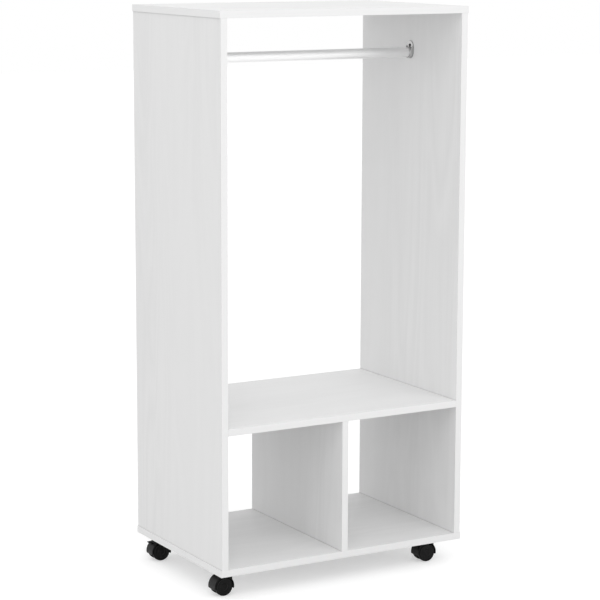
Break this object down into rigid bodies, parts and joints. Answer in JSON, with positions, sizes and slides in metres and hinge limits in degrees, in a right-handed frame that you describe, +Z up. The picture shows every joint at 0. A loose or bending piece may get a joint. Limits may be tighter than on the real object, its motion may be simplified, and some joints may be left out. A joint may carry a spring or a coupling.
{
  "type": "mobile wardrobe",
  "caption": "Open white board wardrobe on castors: a hanging bay with a round rail over a shelf, and two cubbies below.",
  "frame": {"origin": "on the floor under the middle of the cabinet", "axes": "+Z up, +X to the right seen from the front, and the open front faces -Y"},
  "size_m": [0.6, 0.4, 1.225],
  "materials": {
    "board": "white melamine, fine grain",
    "edging": "satin",
    "rail_chrome": "polished",
    "bracket_chrome": "polished",
    "cap_plastic": "matt",
    "screw_steel": "zinc plated",
    "cam_metal": "die cast",
    "dowel_wood": "raw beech",
    "zinc_plate": "zinc plated",
    "castor_plastic": "moulded, fine texture",
    "wheel_plastic": "moulded"
  },
  "bodies": {
    "cabinet": {"top_panel": "board", "bottom_panel": "board", "left_side_panel": "board", "right_side_panel": "board", "middle_shelf": "board", "centre_divider": "board", "top_panel_edging": "edging", "bottom_panel_edging": "edging", "left_side_edging": "edging", "right_side_edging": "edging", "middle_shelf_edging": "edging", "centre_divider_edging": "edging", "hanging_rail": "rail_chrome", "left_rail_bracket": "bracket_chrome", "right_rail_bracket": "bracket_chrome", "top_panel_screws": "screw_steel", "bottom_panel_screws": "screw_steel", "top_screw_caps": "cap_plastic", "wood_dowels": "dowel_wood", "cam_locks": "cam_metal", "cam_bolts": "screw_steel", "rail_bracket_screws": "bracket_chrome", "castor_plate_screws": "screw_steel", "front_left_plate": "zinc_plate", "front_left_stem": "zinc_plate", "front_left_stem_ring": "screw_steel", "front_right_plate": "zinc_plate", "front_right_stem": "zinc_plate", "front_right_stem_ring": "screw_steel", "back_left_plate": "zinc_plate", "back_left_stem": "zinc_plate", "back_left_stem_ring": "screw_steel", "back_right_plate": "zinc_plate", "back_right_stem": "zinc_plate", "back_right_stem_ring": "screw_steel"},
    "front_left_castor": {"front_left_hood": "castor_plastic", "front_left_axle": "zinc_plate"},
    "front_left_outer_wheel": {"front_left_outer_wheel": "wheel_plastic"},
    "front_left_inner_wheel": {"front_left_inner_wheel": "wheel_plastic"},
    "front_right_castor": {"front_right_hood": "castor_plastic", "front_right_axle": "zinc_plate"},
    "front_right_outer_wheel": {"front_right_outer_wheel": "wheel_plastic"},
    "front_right_inner_wheel": {"front_right_inner_wheel": "wheel_plastic"},
    "back_left_castor": {"back_left_hood": "castor_plastic", "back_left_axle": "zinc_plate", "back_left_brake_pin": "zinc_plate"},
    "back_left_outer_wheel": {"back_left_outer_wheel": "wheel_plastic"},
    "back_left_inner_wheel": {"back_left_inner_wheel": "wheel_plastic"},
    "back_left_brake_lever": {"back_left_brake_lever": "castor_plastic"},
    "back_right_castor": {"back_right_hood": "castor_plastic", "back_right_axle": "zinc_plate", "back_right_brake_pin": "zinc_plate"},
    "back_right_outer_wheel": {"back_right_outer_wheel": "wheel_plastic"},
    "back_right_inner_wheel": {"back_right_inner_wheel": "wheel_plastic"},
    "back_right_brake_lever": {"back_right_brake_lever": "castor_plastic"}
  },
  "joints": [
    {"name": "front_left_swivel", "type": "hinge", "parent": "cabinet", "child": "front_left_castor", "pos_m": [-0.255, -0.148, 0.0465], "axis": [0, 0, 1], "continuous": true},
    {"name": "front_left_outer_wheel_spin", "type": "hinge", "parent": "front_left_castor", "child": "front_left_outer_wheel", "pos_m": [-0.273, -0.1597, 0.02], "axis": [0, 1, 0], "continuous": true},
    {"name": "front_left_inner_wheel_spin", "type": "hinge", "parent": "front_left_castor", "child": "front_left_inner_wheel", "pos_m": [-0.273, -0.1363, 0.02], "axis": [0, 1, 0], "continuous": true},
    {"name": "front_right_swivel", "type": "hinge", "parent": "cabinet", "child": "front_right_castor", "pos_m": [0.255, -0.148, 0.0465], "axis": [0, 0, 1], "continuous": true},
    {"name": "front_right_outer_wheel_spin", "type": "hinge", "parent": "front_right_castor", "child": "front_right_outer_wheel", "pos_m": [0.237, -0.1597, 0.02], "axis": [0, 1, 0], "continuous": true},
    {"name": "front_right_inner_wheel_spin", "type": "hinge", "parent": "front_right_castor", "child": "front_right_inner_wheel", "pos_m": [0.237, -0.1363, 0.02], "axis": [0, 1, 0], "continuous": true},
    {"name": "back_left_swivel", "type": "hinge", "parent": "cabinet", "child": "back_left_castor", "pos_m": [-0.255, 0.148, 0.0465], "axis": [0, 0, 1], "continuous": true},
    {"name": "back_left_outer_wheel_spin", "type": "hinge", "parent": "back_left_castor", "child": "back_left_outer_wheel", "pos_m": [-0.273, 0.1597, 0.02], "axis": [0, 1, 0], "continuous": true},
    {"name": "back_left_inner_wheel_spin", "type": "hinge", "parent": "back_left_castor", "child": "back_left_inner_wheel", "pos_m": [-0.273, 0.1363, 0.02], "axis": [0, 1, 0], "continuous": true},
    {"name": "back_left_brake", "type": "hinge", "parent": "back_left_castor", "child": "back_left_brake_lever", "pos_m": [-0.285, 0.148, 0.033], "axis": [0, -1, 0], "range_deg": [0, 12]},
    {"name": "back_right_swivel", "type": "hinge", "parent": "cabinet", "child": "back_right_castor", "pos_m": [0.255, 0.148, 0.0465], "axis": [0, 0, 1], "continuous": true},
    {"name": "back_right_outer_wheel_spin", "type": "hinge", "parent": "back_right_castor", "child": "back_right_outer_wheel", "pos_m": [0.237, 0.1597, 0.02], "axis": [0, 1, 0], "continuous": true},
    {"name": "back_right_inner_wheel_spin", "type": "hinge", "parent": "back_right_castor", "child": "back_right_inner_wheel", "pos_m": [0.237, 0.1363, 0.02], "axis": [0, 1, 0], "continuous": true},
    {"name": "back_right_brake", "type": "hinge", "parent": "back_right_castor", "child": "back_right_brake_lever", "pos_m": [0.225, 0.148, 0.033], "axis": [0, -1, 0], "range_deg": [0, 12]}
  ]
}
